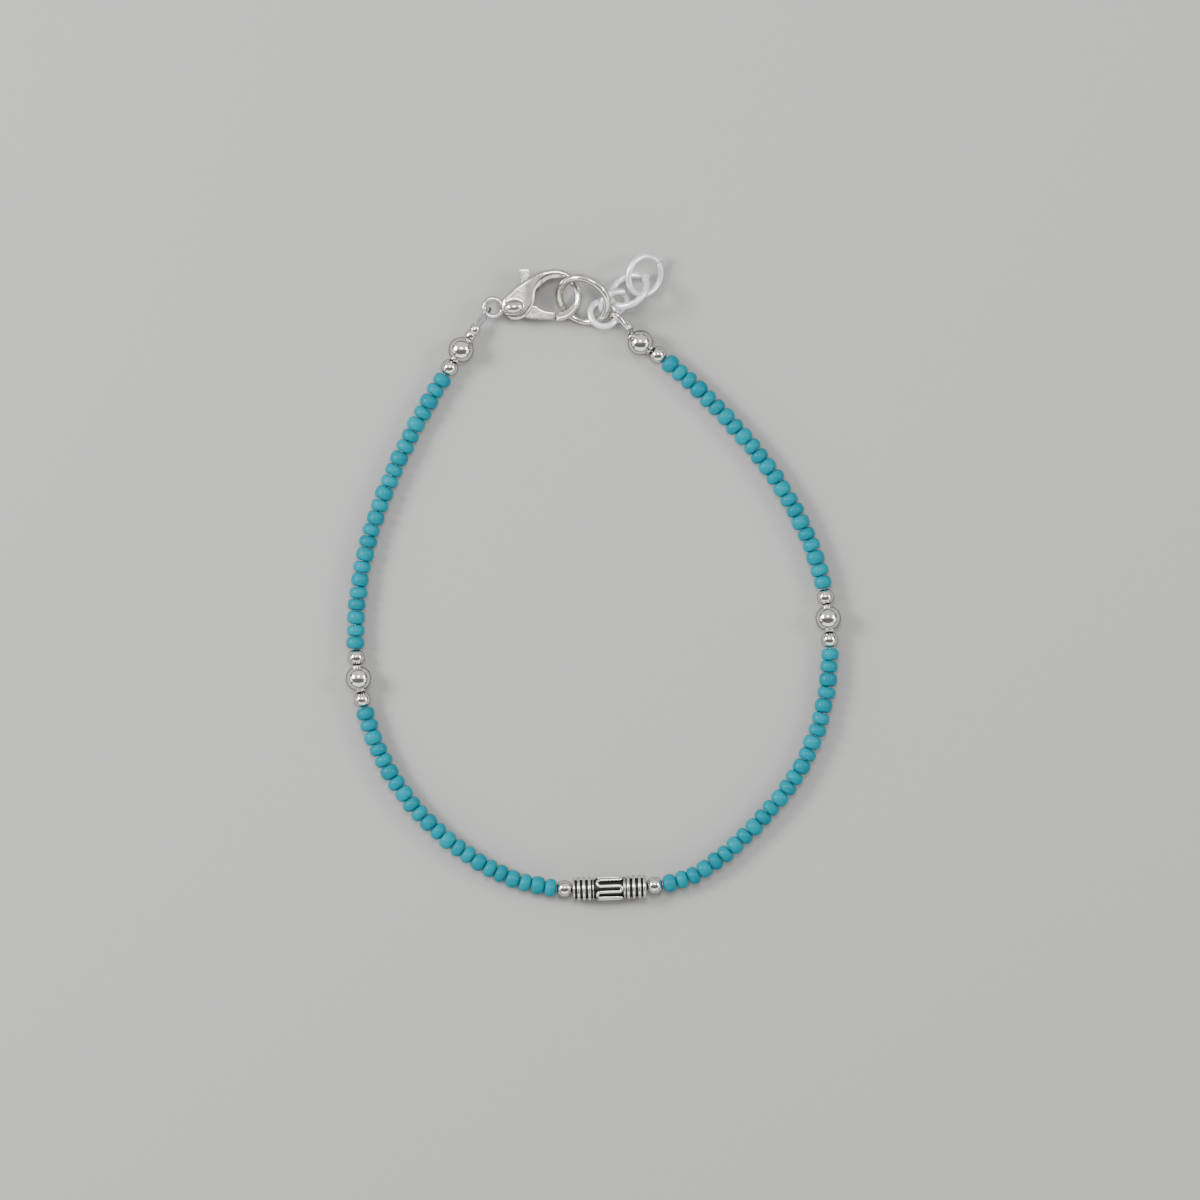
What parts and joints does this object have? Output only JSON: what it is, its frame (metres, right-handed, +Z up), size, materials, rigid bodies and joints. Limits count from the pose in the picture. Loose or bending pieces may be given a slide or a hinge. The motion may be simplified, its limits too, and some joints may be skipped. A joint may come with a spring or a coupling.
{
  "type": "bead bracelet",
  "caption": "Strung bracelet of turquoise seed beads and round silver beads with a patterned silver tube bead, closed by a lobster clasp and a short chain of jump rings.",
  "frame": {"origin": "on the surface that the bracelet lies on, under the middle of its outline", "axes": "+Z up, away from the surface; +Y towards the clasp end; +X towards the side with the chain of rings"},
  "size_m": [0.0584, 0.0764, 0.0049],
  "materials": {
    "turquoise": "smooth opaque turquoise with a soft sheen",
    "bright_silver": "polished silver, a little warm",
    "white_silver": "white silver with a fine matt grain",
    "antiqued_silver": "cast silver, dark in the hollows and bright on the raised parts",
    "wire": "grey stranded wire"
  },
  "bodies": {
    "bracelet": {"seed_run_back_left": "turquoise", "seed_run_front_left": "turquoise", "seed_run_front_right": "turquoise", "seed_run_back_right": "turquoise", "small_ball_end_left": "bright_silver", "small_ball_left_back": "bright_silver", "small_ball_left_front": "bright_silver", "small_ball_tube_left": "bright_silver", "small_ball_tube_right": "bright_silver", "small_ball_right_front": "bright_silver", "small_ball_right_back": "bright_silver", "small_ball_end_right": "bright_silver", "large_ball_end_left": "bright_silver", "large_ball_left": "bright_silver", "large_ball_right": "bright_silver", "large_ball_end_right": "bright_silver", "tube_bead": "antiqued_silver", "crimp": "bright_silver", "bead_wire": "wire", "wire_guard": "bright_silver", "clasp_body": "bright_silver", "jump_ring": "bright_silver", "link_ring_1": "white_silver", "link_ring_2": "white_silver", "extender_ring_1": "white_silver", "extender_ring_2": "white_silver"},
    "lever": {"clasp_lever": "bright_silver"}
  },
  "joints": [
    {"name": "lever_pivot", "type": "hinge", "parent": "bracelet", "child": "lever", "pos_m": [-0.00942, 0.0316, 0.00168], "axis": [0, 0, 1], "range_deg": [0, 26], "stiffness_Nm_per_rad": 0.001, "springref_deg": -17.19}
  ]
}
